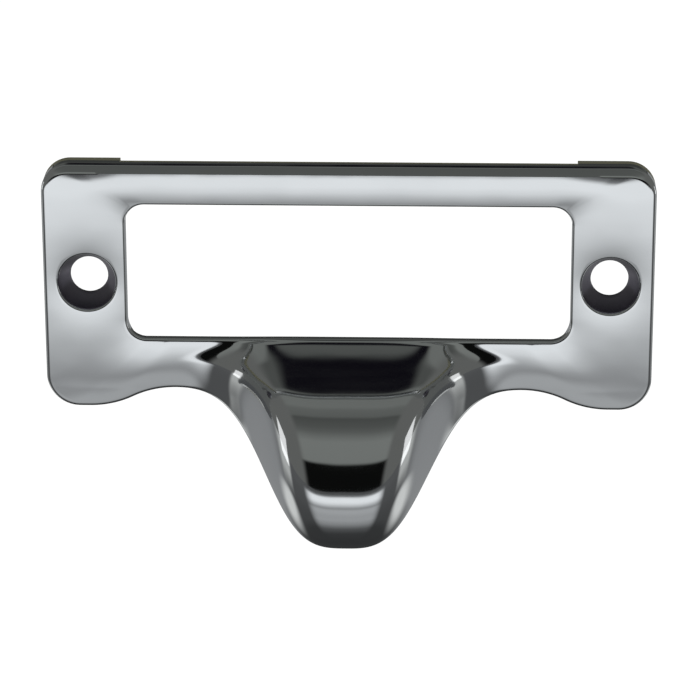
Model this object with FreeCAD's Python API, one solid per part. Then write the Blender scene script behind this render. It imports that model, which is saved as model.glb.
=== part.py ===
"""Label frame pull: a cast frame for a drawer card with a finger hood on its lower rail.

The casting stands upright as it is fixed to a drawer front. X runs along the frame, Y runs into the
drawer and Z is up. The origin is on the back face, midway between the two screw holes. Millimetres.
"""
import FreeCAD, Part
import math
import os

Vector = FreeCAD.Vector

# Screw holes
HOLE_PITCH = 63.5
HOLE_DIAMETER = 4.6
SINK_DIAMETER = 7.3
SINK_ANGLE = 90.0

# Frame seen from the front
HOLE_TO_SIDE = 5.3
HOLE_TO_WINDOW = 4.75
HOLE_BELOW_WINDOW_MIDDLE = 1.3
WINDOW_HEIGHT = 17.1
TOP_RAIL = 4.9
BOTTOM_RAIL = 6.48
FOOT_DEPTH = 8.96
TOP_CORNER_RADIUS = 3.4
FOOT_CORNER_RADIUS = 4.0
WINDOW_CORNER_RADIUS = 2.4

# Frame seen from the side
PLATE_DEPTH = 3.7
EDGE_ROUNDING = 1.2
WINDOW_ROUNDING = 0.9

# Recess for the card, cut into the back and open at the top
CARD_RECESS_DEPTH = 1.25
CARD_SIDE_LAP = 0.6
CARD_LEDGE_LAP = 1.5

# Finger hood: where it leaves the rail, and its shape along the middle
FLARE_REACH = 21.2
SHELF_SLOPE = 18.0
SHELF_LENGTH = 11.4
NOSE_UPPER_RADIUS = 12.0
NOSE_LOWER_RADIUS = 8.0
NOSE_TURN = 5.0
LIP_CURL = 62.0
LIP_WIDTH = 1.1

# Finger hollow: a turned barrel in the hood, straight in the middle and tapered to both ends
HOLLOW_RADIUS = 9.4
HOLLOW_STRAIGHT = 5.0
HOLLOW_END_RADIUS = 4.0
HOLLOW_HALF_WIDTH = 7.3
HOLLOW_FROM_BACK = 8.6
HOLLOW_BELOW_WINDOW = 13.6

# Finger hood: how its reach and its drop fade towards the flare's ends
SHELF_HALF_WIDTH = 13.0
NOSE_HALF_WIDTH = 10.5
NOSE_SQUARENESS = 4.5
RIM_HALF_WIDTH = 12.3
RIM_SQUARENESS = 3.06

# Levels and edges worked out from the sizes above
WINDOW_TOP = WINDOW_HEIGHT / 2 + HOLE_BELOW_WINDOW_MIDDLE
WINDOW_BOTTOM = WINDOW_TOP - WINDOW_HEIGHT
WINDOW_HALF = HOLE_PITCH / 2 - HOLE_TO_WINDOW
FRAME_HALF = HOLE_PITCH / 2 + HOLE_TO_SIDE
FRAME_TOP = WINDOW_TOP + TOP_RAIL
SADDLE = WINDOW_BOTTOM - BOTTOM_RAIL
FOOT = WINDOW_BOTTOM - FOOT_DEPTH

# Working values
ROLL_POINTS = 5
BROW_SWELL = 0.045
LIP_SWELL = 0.03
CLEAR = 1.0
SEAM_TOLERANCE = 0.005


def on_front(x, z):
    """A point of the back plane, from which outlines are drawn and extruded forward."""
    return Vector(x, 0, z)


def line(start, end):
    """A straight edge between two points."""
    return Part.LineSegment(start, end).toShape()


def arc(start, middle, end):
    """A circular edge through three points."""
    return Part.Arc(start, middle, end).toShape()


def smooth_edge(points):
    """A cubic edge through points, which share their steps with the same edge of every other section."""
    spline = Part.BSplineCurve()
    spline.interpolate(Points=points, Parameters=[i / (len(points) - 1) for i in range(len(points))])
    return spline.toShape()


def round_edge(start, middle, end):
    """A single cubic edge that follows the circle through three points."""
    circle = Part.Arc(start, middle, end)
    first, last = circle.FirstParameter, circle.LastParameter
    radius = circle.length() / (last - first)
    reach = radius * math.tan((last - first) / 4) * 4 / 3
    leave, arrive = circle.tangent(first)[0], circle.tangent(last)[0]
    cubic = Part.BezierCurve()
    cubic.setPoles([start, start.add(leave.multiply(reach)), end.sub(arrive.multiply(reach)), end])
    return cubic.toShape()


def corner(centre_x, centre_z, radius, first, last):
    """A circular edge about a centre in the front view, between two angles in degrees from +X."""
    def at(angle):
        turn = math.radians(angle)
        return on_front(centre_x + radius * math.cos(turn), centre_z + radius * math.sin(turn))
    return arc(at(first), at((first + last) / 2), at(last))


def rounded_window(half_width, bottom, top, radius):
    """The closed outline of a rectangle with rounded corners."""
    right, left = half_width - radius, -half_width + radius
    low, high = bottom + radius, top - radius
    return Part.Wire([
        line(on_front(left, bottom), on_front(right, bottom)),
        corner(right, low, radius, 270, 360),
        line(on_front(half_width, low), on_front(half_width, high)),
        corner(right, high, radius, 0, 90),
        line(on_front(right, top), on_front(left, top)),
        corner(left, high, radius, 90, 180),
        line(on_front(-half_width, high), on_front(-half_width, low)),
        corner(left, low, radius, 180, 270),
    ])


def frame_outline():
    """The frame's outer edge: square shoulders above, two rounded feet below with a saddle beside each."""
    foot_x = HOLE_PITCH / 2
    run, rise = foot_x - FLARE_REACH, SADDLE - FOOT
    sweep_radius = (run ** 2 + rise ** 2) / (4 * rise)
    turn = math.degrees(math.asin(run / (2 * sweep_radius)))
    shoulder, toe = FRAME_HALF - TOP_CORNER_RADIUS, FRAME_HALF - FOOT_CORNER_RADIUS
    shoulder_z = FRAME_TOP - TOP_CORNER_RADIUS
    edges = [line(on_front(-FLARE_REACH, SADDLE), on_front(FLARE_REACH, SADDLE))]
    right = [
        corner(FLARE_REACH, SADDLE - sweep_radius, sweep_radius, 90, 90 - turn),
        corner(foot_x, FOOT + sweep_radius, sweep_radius, 270 - turn, 270),
        line(on_front(foot_x, FOOT), on_front(toe, FOOT)),
        corner(toe, FOOT + FOOT_CORNER_RADIUS, FOOT_CORNER_RADIUS, 270, 360),
        line(on_front(FRAME_HALF, FOOT + FOOT_CORNER_RADIUS), on_front(FRAME_HALF, shoulder_z)),
        corner(shoulder, shoulder_z, TOP_CORNER_RADIUS, 0, 90),
    ]
    edges += right
    edges.append(line(on_front(shoulder, FRAME_TOP), on_front(-shoulder, FRAME_TOP)))
    edges += [edge.mirror(Vector(0, 0, 0), Vector(1, 0, 0)) for edge in right]
    return Part.Wire(Part.__sortEdges__(edges))


def front_edges(solid):
    """The edges of a solid that lie in the frame's front face."""
    return [e for e in solid.Edges if all(abs(v.Y + PLATE_DEPTH) < 1e-6 for v in e.Vertexes)
            and abs(e.CenterOfMass.y + PLATE_DEPTH) < 1e-6]


def frame_plate():
    """The flat frame with its window, both with rounded front edges."""
    forward = Vector(0, -PLATE_DEPTH, 0)
    plate = Part.Face(frame_outline()).extrude(forward)
    plate = plate.makeFillet(EDGE_ROUNDING, front_edges(plate))
    window = rounded_window(WINDOW_HALF, WINDOW_BOTTOM, WINDOW_TOP, WINDOW_CORNER_RADIUS)
    hole = Part.Face(window).extrude(Vector(0, -PLATE_DEPTH - CLEAR, 0))
    plate = plate.cut(hole)
    margin = CLEAR / 10
    rim = [e for e in front_edges(plate)
           if WINDOW_BOTTOM - margin < e.CenterOfMass.z < WINDOW_TOP + margin
           and abs(e.CenterOfMass.x) < WINDOW_HALF + margin]
    return plate.makeFillet(WINDOW_ROUNDING, rim)


def fade(share, half_width, power):
    """Fades from 1 in the middle to 0 at the flare's end, flat at both, by share of the flare's reach."""
    ending = (1 - share ** 2) ** 2
    return ending / (ending + (abs(share) * FLARE_REACH / half_width) ** power)


def nose_points(count):
    """Points down the middle of the hood's skin: the upper roll, then the tighter lower roll."""
    top, turn, end = math.radians(90 - SHELF_SLOPE), math.radians(NOSE_TURN), math.radians(-LIP_CURL)
    start_y = -PLATE_DEPTH + WINDOW_ROUNDING
    upper_y = start_y - SHELF_LENGTH * math.sin(top) + NOSE_UPPER_RADIUS * math.cos(top)
    upper_z = WINDOW_BOTTOM - SHELF_LENGTH * math.cos(top) - NOSE_UPPER_RADIUS * math.sin(top)
    step = NOSE_UPPER_RADIUS - NOSE_LOWER_RADIUS
    lower_y = upper_y - step * math.cos(turn)
    lower_z = upper_z + step * math.sin(turn)
    rolls = [
        (upper_y, upper_z, NOSE_UPPER_RADIUS, top, turn),
        (lower_y, lower_z, NOSE_LOWER_RADIUS, turn, end),
    ]
    points = []
    for centre_y, centre_z, radius, first, last in rolls:
        for index in range(1 if points else 0, count):
            angle = first + (last - first) * index / (count - 1)
            points.append((centre_y - radius * math.cos(angle), centre_z + radius * math.sin(angle)))
    return points


def hood_section(share):
    """One closed section of the lower rail across X, which swells into the hood towards the middle."""
    x = share * FLARE_REACH
    drop = fade(share, RIM_HALF_WIDTH, RIM_SQUARENESS)

    def blend(flat, full, along):
        nose_half = SHELF_HALF_WIDTH + (NOSE_HALF_WIDTH - SHELF_HALF_WIDTH) * along
        at_nose = fade(share, nose_half, NOSE_SQUARENESS)
        reach = at_nose + (drop - at_nose) * along ** 3
        return Vector(x, flat[0] + (full[0] - flat[0]) * reach, flat[1] + (full[1] - flat[1]) * drop)

    # Skin: flat rail face against shelf and nose
    brow = (-PLATE_DEPTH + WINDOW_ROUNDING, WINDOW_BOTTOM)
    dip = math.radians(SHELF_SLOPE)
    shelf_at = [WINDOW_ROUNDING, SHELF_LENGTH / 3, SHELF_LENGTH * 2 / 3]
    full_skin = [(brow[0] - s * math.cos(dip), brow[1] - s * math.sin(dip)) for s in shelf_at]
    full_skin += nose_points(ROLL_POINTS)
    high, low = WINDOW_BOTTOM - WINDOW_ROUNDING, SADDLE + EDGE_ROUNDING
    steps = len(full_skin) - 1
    flat_skin = [(-PLATE_DEPTH, high + (low - high) * i / steps) for i in range(steps + 1)]
    skin = [blend(a, b, i / steps) for i, (a, b) in enumerate(zip(flat_skin, full_skin))]

    # Round edge of the window, which opens out into the shelf
    half_turn = math.radians(45)
    bulge = 1 - math.cos(half_turn)
    flat_middle = (brow[0] - WINDOW_ROUNDING * math.sin(half_turn), brow[1] - WINDOW_ROUNDING * bulge)
    full_middle = ((brow[0] + full_skin[0][0]) / 2, (brow[1] + full_skin[0][1]) / 2 + BROW_SWELL)
    brow_start = Vector(x, brow[0], brow[1])
    brow_middle = blend(flat_middle, full_middle, 0)

    # Lip: the rail's round lower edge, which flattens into a narrow land
    flat_end = (-PLATE_DEPTH + EDGE_ROUNDING, SADDLE)
    full_end = (full_skin[-1][0] + LIP_WIDTH, full_skin[-1][1])
    lip_end = blend(flat_end, full_end, 1)
    chord = lip_end.sub(skin[-1])
    outward = Vector(0, chord.z, -chord.y).normalize()
    sag = EDGE_ROUNDING * bulge * (1 - drop) ** 4 + LIP_SWELL
    lip_middle = skin[-1].add(chord.multiply(0.5)).add(outward.multiply(sag))

    back_bottom = Vector(x, 0, SADDLE)
    back_top = Vector(x, 0, WINDOW_BOTTOM)
    return Part.Wire([
        line(back_top, brow_start),
        round_edge(brow_start, brow_middle, skin[0]),
        smooth_edge(skin),
        round_edge(skin[-1], lip_middle, lip_end),
        line(lip_end, back_bottom),
        line(back_bottom, back_top),
    ])


def hollow():
    """The finger hollow, as the turned barrel with tapered ends that is cut out of the hood."""
    axis_z = WINDOW_BOTTOM - HOLLOW_BELOW_WINDOW
    half_outline = [
        (HOLLOW_HALF_WIDTH, 0),
        (HOLLOW_HALF_WIDTH, HOLLOW_END_RADIUS),
        (HOLLOW_STRAIGHT / 2, HOLLOW_RADIUS),
    ]
    outline = half_outline + [(-x, radius) for x, radius in reversed(half_outline)]
    points = [Vector(x, -HOLLOW_FROM_BACK, axis_z + radius) for x, radius in outline]
    profile = Part.Face(Part.makePolygon(points + points[:1]))
    return profile.revolve(Vector(0, -HOLLOW_FROM_BACK, axis_z), Vector(1, 0, 0), 360)


def hood():
    """The stretch of lower rail between the flare's ends, lofted through sections and hollowed below."""
    half = [0.14, 0.26, 0.35, 0.42, 0.49, 0.56, 0.64, 0.73, 0.84, 1.0]
    shares = [-s for s in reversed(half)] + [0.0] + half
    return Part.makeLoft([hood_section(s) for s in shares], True, False, False, 3)


def screw_hole(x):
    """A drilled hole with its countersink, as the tool that cuts both."""
    radius, mouth = HOLE_DIAMETER / 2, SINK_DIAMETER / 2
    depth = (mouth - radius) / math.tan(math.radians(SINK_ANGLE / 2))
    forward = Vector(0, -1, 0)
    drill = Part.makeCylinder(radius, PLATE_DEPTH + 2 * CLEAR, Vector(x, CLEAR, 0), forward)
    sink = Part.makeCone(radius, mouth, depth, Vector(x, -PLATE_DEPTH + depth, 0), forward)
    lead = Part.makeCylinder(mouth, CLEAR, Vector(x, -PLATE_DEPTH, 0), forward)
    return drill.fuse([sink, lead])


def card_recess():
    """The space that the card slides into from above, as the block that is cut out of the back."""
    half = WINDOW_HALF + CARD_SIDE_LAP
    floor = WINDOW_BOTTOM - CARD_LEDGE_LAP
    height = FRAME_TOP - floor + CLEAR
    return Part.makeBox(2 * half, CARD_RECESS_DEPTH + CLEAR, height, Vector(-half, -CARD_RECESS_DEPTH, floor))


def label_frame_pull():
    """The whole casting as one solid."""
    plate = frame_plate()
    gap_depth = PLATE_DEPTH + 2 * CLEAR
    gap = Part.makeBox(2 * FLARE_REACH, gap_depth, WINDOW_BOTTOM - FOOT,
                       Vector(-FLARE_REACH, CLEAR - gap_depth, FOOT))
    body = plate.cut(gap).fuse([hood()], SEAM_TOLERANCE)
    body = body.cut(card_recess()).cut(hollow())
    for side in (-1, 1):
        body = body.cut(screw_hole(side * HOLE_PITCH / 2))
    return body.removeSplitter()


os.makedirs("parts", exist_ok=True)
casting = label_frame_pull()
casting.exportStep("parts/label_frame_pull.step")
box = casting.BoundBox
print("valid", casting.isValid(), "solids", len(casting.Solids), "faces", len(casting.Faces))
print("size", round(box.XLength, 2), round(box.YLength, 2), round(box.ZLength, 2))
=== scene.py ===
"""Label frame pull: a plated casting that frames a drawer card, with a finger hood on its lower rail.

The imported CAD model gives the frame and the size. The casting is worked out again here as one closed
surface with even, dense quads, because bright plating shows every facet of a coarser mesh.
Sizes are in millimetres until a surface becomes a mesh, in metres.
"""

import logging
import math
from dataclasses import dataclass, field, fields
from enum import Enum

import bmesh
import bpy
import numpy as np
from mathutils import Matrix, Vector


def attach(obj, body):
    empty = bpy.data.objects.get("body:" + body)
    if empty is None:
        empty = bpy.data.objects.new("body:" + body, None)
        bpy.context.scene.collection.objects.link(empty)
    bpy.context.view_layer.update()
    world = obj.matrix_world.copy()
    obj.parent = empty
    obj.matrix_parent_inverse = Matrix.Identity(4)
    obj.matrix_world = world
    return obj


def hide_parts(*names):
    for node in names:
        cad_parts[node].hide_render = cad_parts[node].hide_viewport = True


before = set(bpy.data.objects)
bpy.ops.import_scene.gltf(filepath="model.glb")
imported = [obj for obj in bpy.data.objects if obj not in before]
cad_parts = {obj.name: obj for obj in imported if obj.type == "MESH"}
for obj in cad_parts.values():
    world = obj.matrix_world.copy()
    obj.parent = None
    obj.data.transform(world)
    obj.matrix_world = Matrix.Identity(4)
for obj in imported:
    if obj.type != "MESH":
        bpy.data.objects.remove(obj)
LOG = logging.getLogger("label_frame_pull")
MILLIMETRE = 0.001
MERGE_DISTANCE = 2e-6
FLAT_DISTANCE = 1e-6
SLOPE_STEP = 1e-5
OTHER_SIDE = np.array([-1.0, 1.0, 1.0])

Colour = tuple[float, float, float]
Stops = tuple[tuple[float, float], ...]
Socket = bpy.types.NodeSocket


class Finish(Enum):
    """The finishes of the casting, by the place of each in the mesh's list of materials."""

    POLISHED = 0
    UNPOLISHED = 1
    # Plating darkened with painted shade, for the inside of the screw holes
    PAINTED_SHADE_RECESS = 2


def steps(count: int) -> np.ndarray:
    """Even shares from 0 for a number of rows, without the 1 at which the next stretch starts."""
    return np.linspace(0, 1, count + 1)[:-1]


def within(values: np.ndarray, low: int, high: int) -> np.ndarray:
    """Whether each number lies from a first one up to, but not at, a last one."""
    return (values >= low) & (values < high)


def parabola(first: np.ndarray, middle: np.ndarray, last: np.ndarray, share: np.ndarray) -> np.ndarray:
    """A parabola that leaves its first point towards the middle one and comes from there to the last."""
    return first * (1 - share) ** 2 + middle * 2 * share * (1 - share) + last * share ** 2


def angle_of_roll(along: np.ndarray, start: float, stop: float, first: float, last: float) -> np.ndarray:
    """The angle between two angles by share of the way between two places, carried on past both."""
    return first + (last - first) * (along - start) / (stop - start)


@dataclass
class Surface:
    """Points and four-sided faces of a surface, each face with its finish."""

    points: np.ndarray
    quads: np.ndarray
    finishes: np.ndarray

    @staticmethod
    def from_grid(grid: np.ndarray, wrap: tuple[bool, bool], finishes: np.ndarray) -> "Surface":
        """Joins each point of a grid to its neighbours along both parameters.

        Args:
            grid: Points by first and second parameter.
            wrap: Whether each parameter closes on itself.
            finishes: The finish of each face, by first and second parameter.

        Returns:
            The surface, with one face for each cell of the grid.
        """
        rows, columns = grid.shape[:2]
        first = np.arange(rows if wrap[0] else rows - 1)
        second = np.arange(columns if wrap[1] else columns - 1)
        u, v = np.meshgrid(first, second, indexing="ij")
        next_u, next_v = (u + 1) % rows, (v + 1) % columns
        corners = [u * columns + v, next_u * columns + v, next_u * columns + next_v, u * columns + next_v]
        quads = np.stack(corners, axis=-1).reshape(-1, 4)
        return Surface(grid.reshape(-1, 3), quads, np.broadcast_to(finishes, u.shape).reshape(-1))

    def without(self, dropped: np.ndarray) -> "Surface":
        """Leaves out the faces that a mask marks."""
        return Surface(self.points, self.quads[~dropped], self.finishes[~dropped])

    def mirrored(self) -> "Surface":
        """Turns the surface over to the other side of X = 0, with its faces still pointing outwards."""
        return Surface(self.points * OTHER_SIDE, self.quads[:, ::-1], self.finishes)

    @staticmethod
    def joined(parts: list["Surface"]) -> "Surface":
        """Puts several surfaces into one list of points and faces.

        Args:
            parts: The surfaces, whose shared edges have the same points.

        Returns:
            One surface, in which those points are still double.
        """
        starts = np.cumsum([0] + [len(part.points) for part in parts[:-1]])
        quads = [part.quads + start for part, start in zip(parts, starts)]
        points = np.concatenate([part.points for part in parts])
        return Surface(points, np.concatenate(quads), np.concatenate([part.finishes for part in parts]))

    def to_object(self, name: str, materials: list[bpy.types.Material],
                  sharp_angle: float) -> bpy.types.Object:
        """Makes a mesh object of the surface, with its doubles merged and its faces outwards.

        Args:
            name: Name of the object.
            materials: Materials in the order of the finishes.
            sharp_angle: Angle in degrees from which an edge is shaded as sharp.

        Returns:
            The object, linked to the scene.
        """
        mesh = bpy.data.meshes.new(name)
        mesh.vertices.add(len(self.points))
        mesh.vertices.foreach_set("co", (self.points * MILLIMETRE).astype(np.float32).ravel())
        mesh.loops.add(self.quads.size)
        mesh.loops.foreach_set("vertex_index", self.quads.astype(np.int32).ravel())
        mesh.polygons.add(len(self.quads))
        mesh.polygons.foreach_set("loop_start", np.arange(0, self.quads.size, 4, dtype=np.int32))
        mesh.polygons.foreach_set("material_index", self.finishes.astype(np.int32))
        mesh.update(calc_edges=True)
        made = bmesh.new()
        made.from_mesh(mesh)
        bmesh.ops.remove_doubles(made, verts=made.verts, dist=MERGE_DISTANCE)
        bmesh.ops.dissolve_degenerate(made, edges=made.edges, dist=FLAT_DISTANCE)
        bmesh.ops.recalc_face_normals(made, faces=made.faces)
        open_edges = sum(1 for edge in made.edges if not edge.is_manifold)
        made.to_mesh(mesh)
        made.free()
        for material in materials:
            mesh.materials.append(material)
        mesh.shade_smooth()
        mesh.set_sharp_from_angle(angle=math.radians(sharp_angle))
        piece = bpy.data.objects.new(name, mesh)
        bpy.context.scene.collection.objects.link(piece)
        LOG.info("%s: %d faces, %d open edges", name, len(mesh.polygons), open_edges)
        return piece


@dataclass
class Outline:
    """A line in the front view, made of straight runs and arcs, read by its share of length.

    A run holds its length, its radius, its first point or centre, and its last point or two angles.
    """

    runs: list[tuple[float, ...]] = field(default_factory=list)

    def straight(self, x0: float, z0: float, x1: float, z1: float) -> "Outline":
        """Adds a straight run between two points, with no radius."""
        self.runs.append((math.hypot(x1 - x0, z1 - z0), 0.0, x0, z0, x1, z1))
        return self

    def arc(self, x: float, z: float, radius: float, first: float, last: float) -> "Outline":
        """Adds an arc about a centre.

        Args:
            x: The centre's X.
            z: The centre's Z.
            radius: The arc's radius.
            first: Angle that it starts at, in degrees from +X.
            last: Angle that it ends at.

        Returns:
            The same line.
        """
        start, end = math.radians(first), math.radians(last)
        self.runs.append((radius * abs(end - start), radius, x, z, start, end))
        return self

    def at(self, share: np.ndarray) -> np.ndarray:
        """Reads points by share of the whole length: along a straight run by its ends, on an arc by angle.

        Args:
            share: Shares from 0 to 1.

        Returns:
            Points in X and Z.
        """
        lengths = np.array([run[0] for run in self.runs])
        ends = np.cumsum(lengths)
        reach = np.clip(share, 0.0, 1.0) * ends[-1]
        index = np.clip(np.searchsorted(ends, reach, side="left"), 0, len(self.runs) - 1)
        inside = np.clip((reach - (ends - lengths)[index]) / lengths[index], 0.0, 1.0)
        radius, x, z, first, last = np.array(self.runs)[index].T[1:]
        angle = first + (last - first) * inside
        arc = np.stack([x + radius * np.cos(angle), z + radius * np.sin(angle)], axis=-1)
        flat = np.stack([x + (first - x) * inside, z + (last - z) * inside], axis=-1)
        return np.where((radius > 0)[:, None], arc, flat)

    def length(self) -> float:
        """The whole length of the line."""
        return sum(run[0] for run in self.runs)


@dataclass
class SectionRows:
    """How many points each stretch of a section has, from the window's wall round to the card recess."""

    wall: int = 6
    brow: int = 8
    face: int = 40
    edge: int = 10
    side_near: int = 4
    side_middle: int = 20
    side_far: int = 4
    back: int = 40
    step: int = 2
    recess: int = 4

    def starts(self) -> dict[str, int]:
        """The number of the first row of each stretch.

        Returns:
            Row numbers by the stretch's name.
        """
        names = [stretch.name for stretch in fields(self)]
        counts = [getattr(self, name) for name in names]
        return dict(zip(names, np.cumsum([0] + counts[:-1]).tolist()))


@dataclass
class CardFrame:
    """The frame round the card window, with its pads behind."""

    hole_pitch: float = 63.5
    half_width: float = 37.05
    top: float = 14.75
    window_half: float = 27.0
    window_top: float = 9.85
    window_bottom: float = -7.25
    window_corner: float = 2.4
    shoulder_radius: float = 3.4
    toe_radius: float = 4.0
    saddle: float = -13.73
    foot: float = -16.21
    flare_reach: float = 21.2
    depth: float = 3.7
    edge_rounding: float = 1.0
    facet_tilts: tuple[float, float] = (42.0, 71.5)
    facet_break: float = 0.18
    facet_rows: tuple[float, ...] = (0.0, 0.4, 0.5, 0.6, 0.9, 1.0)
    facet_places: tuple[float, ...] = (0.0, 0.88, 1.0, 1.12, 1.9, 2.0)
    side_rounding: float = 0.5
    window_rounding: float = 0.35
    window_bevel: float = 1.2
    bevel_lap: float = 0.8
    recess_depth: float = 1.25
    recess_half: float = 27.6
    recess_floor: float = -8.75
    crown_slope: float = 0.10
    crown_width: float = 8.0
    bow: float = 0.2
    bow_middle: float = 2.0
    bow_reach: float = 15.0
    dish: float = 0.16
    dish_start: float = 3.6
    dish_reach: float = 2.6
    block_half: float = 4.2
    rows: SectionRows = field(default_factory=SectionRows)

    def bowed(self, points: np.ndarray) -> np.ndarray:
        """Bows the front back by the square of the height from the middle, and dishes it at the holes.

        The dish fades with the distance from the hole's rim. Both fade out towards the flat back.

        Args:
            points: Points of the casting as drawn, with a straight front.

        Returns:
            The same points, moved back.
        """
        height = np.maximum(points[..., 2], self.saddle)
        sag = self.bow * ((height - self.bow_middle) / self.bow_reach) ** 2
        from_hole = np.hypot(np.abs(points[..., 0]) - self.hole_pitch / 2, points[..., 2])
        sag += self.dish * np.exp(-np.maximum(from_hole - self.dish_start, 0.0) / self.dish_reach)
        bent = points.copy()
        bent[..., 1] += sag * np.clip(-points[..., 1] / self.depth, 0.0, 1.0)
        return bent

    def crown(self, across: np.ndarray, width: np.ndarray) -> np.ndarray:
        """Depth that the face loses by its crown, a parabola: none in the middle, most at both edges."""
        most = self.crown_slope * np.minimum(width, self.crown_width) / 4.0
        return most * (2.0 * across - 1.0) ** 2

    @staticmethod
    def placed(plan: np.ndarray, height: np.ndarray) -> np.ndarray:
        """Lifts points of the front view, in X and Z, to their height over the flat back."""
        depth = np.broadcast_to(-height, plan.shape[:2])
        return np.stack([plan[..., 0], depth, plan[..., 1]], axis=-1)

    def sections(self, inner: np.ndarray, inner_in: np.ndarray, outer: np.ndarray, outer_in: np.ndarray,
                 padded: np.ndarray) -> np.ndarray:
        """Carries the frame's section along a pair of lines, the window's edge and the outer edge.

        The front is the flat face less the crown, less a quarter circle at the window and less the outer
        edge's own section. The outer side goes back to the pad or to the recess, and the back returns over
        the pad, down its step and to the bevel behind the window's edge.

        Args:
            inner: Points of the window's edge, in X and Z.
            inner_in: Directions from that edge into the metal.
            outer: Points of the outer edge, in X and Z.
            outer_in: Directions from that edge into the metal.
            padded: Whether the section has a pad behind it.

        Returns:
            Points by station and row.
        """
        rows, rounding = self.rows, self.window_rounding
        width = np.linalg.norm(outer - inner, axis=-1)[:, None]

        # Front: the window's edge, the outer edge and the face between them
        turn = np.linspace(0, math.pi / 2, rows.brow + 1)[None, :-1]
        distance = rounding * (1.0 - np.cos(turn)) * np.ones_like(width)
        height = self.depth - self.crown(distance / width, width) - rounding * (1.0 - np.sin(turn))
        brow = self.placed(inner[:, None] + inner_in[:, None] * distance[..., None], height)
        radius = self.edge_radius(outer_in)
        distance, loss = self.edge_shape(outer_in, np.linspace(0, 1, rows.edge + 1))
        height = self.depth - self.crown(1.0 - radius * distance / width, width) - radius * loss
        plan = outer[:, None] + outer_in[:, None] * (radius * distance)[..., None]
        edge = self.placed(plan, height)[:, :-1]
        side_top = height[:, -1:]
        start = inner + inner_in * rounding
        stop = outer + outer_in * radius
        share = steps(rows.face)[None, :]
        across = (rounding + share * (width - rounding - radius)) / width
        plan = start[:, None] + (stop - start)[:, None] * share[..., None]
        face = self.placed(plan, self.depth - self.crown(across, width))

        # Window's wall: a bevel forwards from the recess, then straight to the rounded edge
        cross = np.where(padded[:, None], self.crossing(outer, inner), outer)
        lap = np.linalg.norm(cross - inner, axis=-1)[:, None]
        bevel = np.minimum(self.window_bevel, lap * self.bevel_lap)
        hem = inner_in * bevel
        wall_top = self.depth - self.crown(np.zeros_like(width), width) - rounding
        share = steps(rows.wall)[None, :]
        slope, rise = np.minimum(2 * share, 1.0), np.maximum(2 * share - 1.0, 0.0)
        plan = inner[:, None] + hem[:, None] * (1.0 - slope)[..., None]
        height = self.recess_depth + bevel * slope + (wall_top - self.recess_depth - bevel) * rise
        wall = self.placed(plan, height)

        # Outer side, then the back over the pad, down its step and through the recess
        pad_height = np.where(padded, 0.0, self.recess_depth)[:, None]
        side_count = rows.side_near + rows.side_middle + rows.side_far
        height = side_top + (pad_height - side_top) * steps(side_count)[None, :]
        side = self.placed(np.repeat(outer[:, None], side_count, axis=1), height)
        plan = outer[:, None] + (cross - outer)[:, None] * steps(rows.back)[None, :, None]
        back = self.placed(plan, pad_height)
        height = pad_height + (self.recess_depth - pad_height) * steps(rows.step)[None, :]
        step = self.placed(np.repeat(cross[:, None], rows.step, axis=1), height)
        plan = cross[:, None] + (inner + hem - cross)[:, None] * steps(rows.recess)[None, :, None]
        recess = self.placed(plan, np.array([[self.recess_depth]]))
        return np.concatenate([wall, brow, face, edge, side, back, step, recess], axis=1)

    def edge_radius(self, inward: np.ndarray) -> np.ndarray:
        """The outer edge's rounding, full along the top and tighter down the sides and below."""
        upward = np.clip(-inward[:, 1:], 0.0, 1.0)
        return self.side_rounding + (self.edge_rounding - self.side_rounding) * upward ** 2

    def edge_shape(self, inward: np.ndarray, share: np.ndarray) -> tuple[np.ndarray, np.ndarray]:
        """The outer edge's section in parts of its rounding: a quarter circle, or two facets along the top.

        Args:
            inward: Directions from the edge into the metal.
            share: Places on the section, 0 at the face and 1 at the side.

        Returns:
            The distance in from the edge and the depth lost there, by station and place.
        """
        upward = np.clip(-inward[:, 1:], 0.0, 1.0) ** 2
        turn = (1.0 - share) * math.pi / 2
        first, second = (math.tan(math.radians(tilt)) for tilt in self.facet_tilts)
        middle = first * (1.0 - self.facet_break)
        facet = np.interp(share, self.facet_rows, self.facet_places)
        corners = (0, 1, 2)
        away = np.interp(facet, corners, (1.0, self.facet_break, 0.0))
        lost = np.interp(facet, corners, (0.0, middle, middle + second * self.facet_break))
        distance = (1.0 - upward) * (1.0 - np.cos(turn)) + upward * away
        return distance, (1.0 - upward) * (1.0 - np.sin(turn)) + upward * lost

    def crossing(self, outer: np.ndarray, inner: np.ndarray) -> np.ndarray:
        """Where a line from the outer edge to the window enters the card recess, a plain rectangle.

        Args:
            outer: Points of the outer edge, in X and Z.
            inner: Points of the window's edge, in X and Z.

        Returns:
            Points in X and Z.
        """
        run = inner - outer
        beyond = np.array([self.recess_half, self.recess_floor]) - outer
        with np.errstate(divide="ignore", invalid="ignore"):
            by_side = np.where(beyond[:, 0] < 0.0, beyond[:, 0] / run[:, 0], 0.0)
            by_floor = np.where(beyond[:, 1] > 0.0, beyond[:, 1] / run[:, 1], 0.0)
        return outer + run * np.maximum(by_side, by_floor)[:, None]

    @staticmethod
    def inward(line: Outline, share: np.ndarray, side: float) -> np.ndarray:
        """Directions square to a line, into the metal: its slope over a short step, turned a quarter.

        Args:
            line: The line.
            share: Places on it, by share of its length.
            side: 1 where the metal is on the line's left, -1 where it is on its right.

        Returns:
            Directions in X and Z, of length 1.
        """
        slope = line.at(np.minimum(share + SLOPE_STEP, 1.0)) - line.at(np.maximum(share - SLOPE_STEP, 0.0))
        slope /= np.linalg.norm(slope, axis=-1, keepdims=True)
        return side * np.stack([-slope[:, 1], slope[:, 0]], axis=-1)

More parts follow.
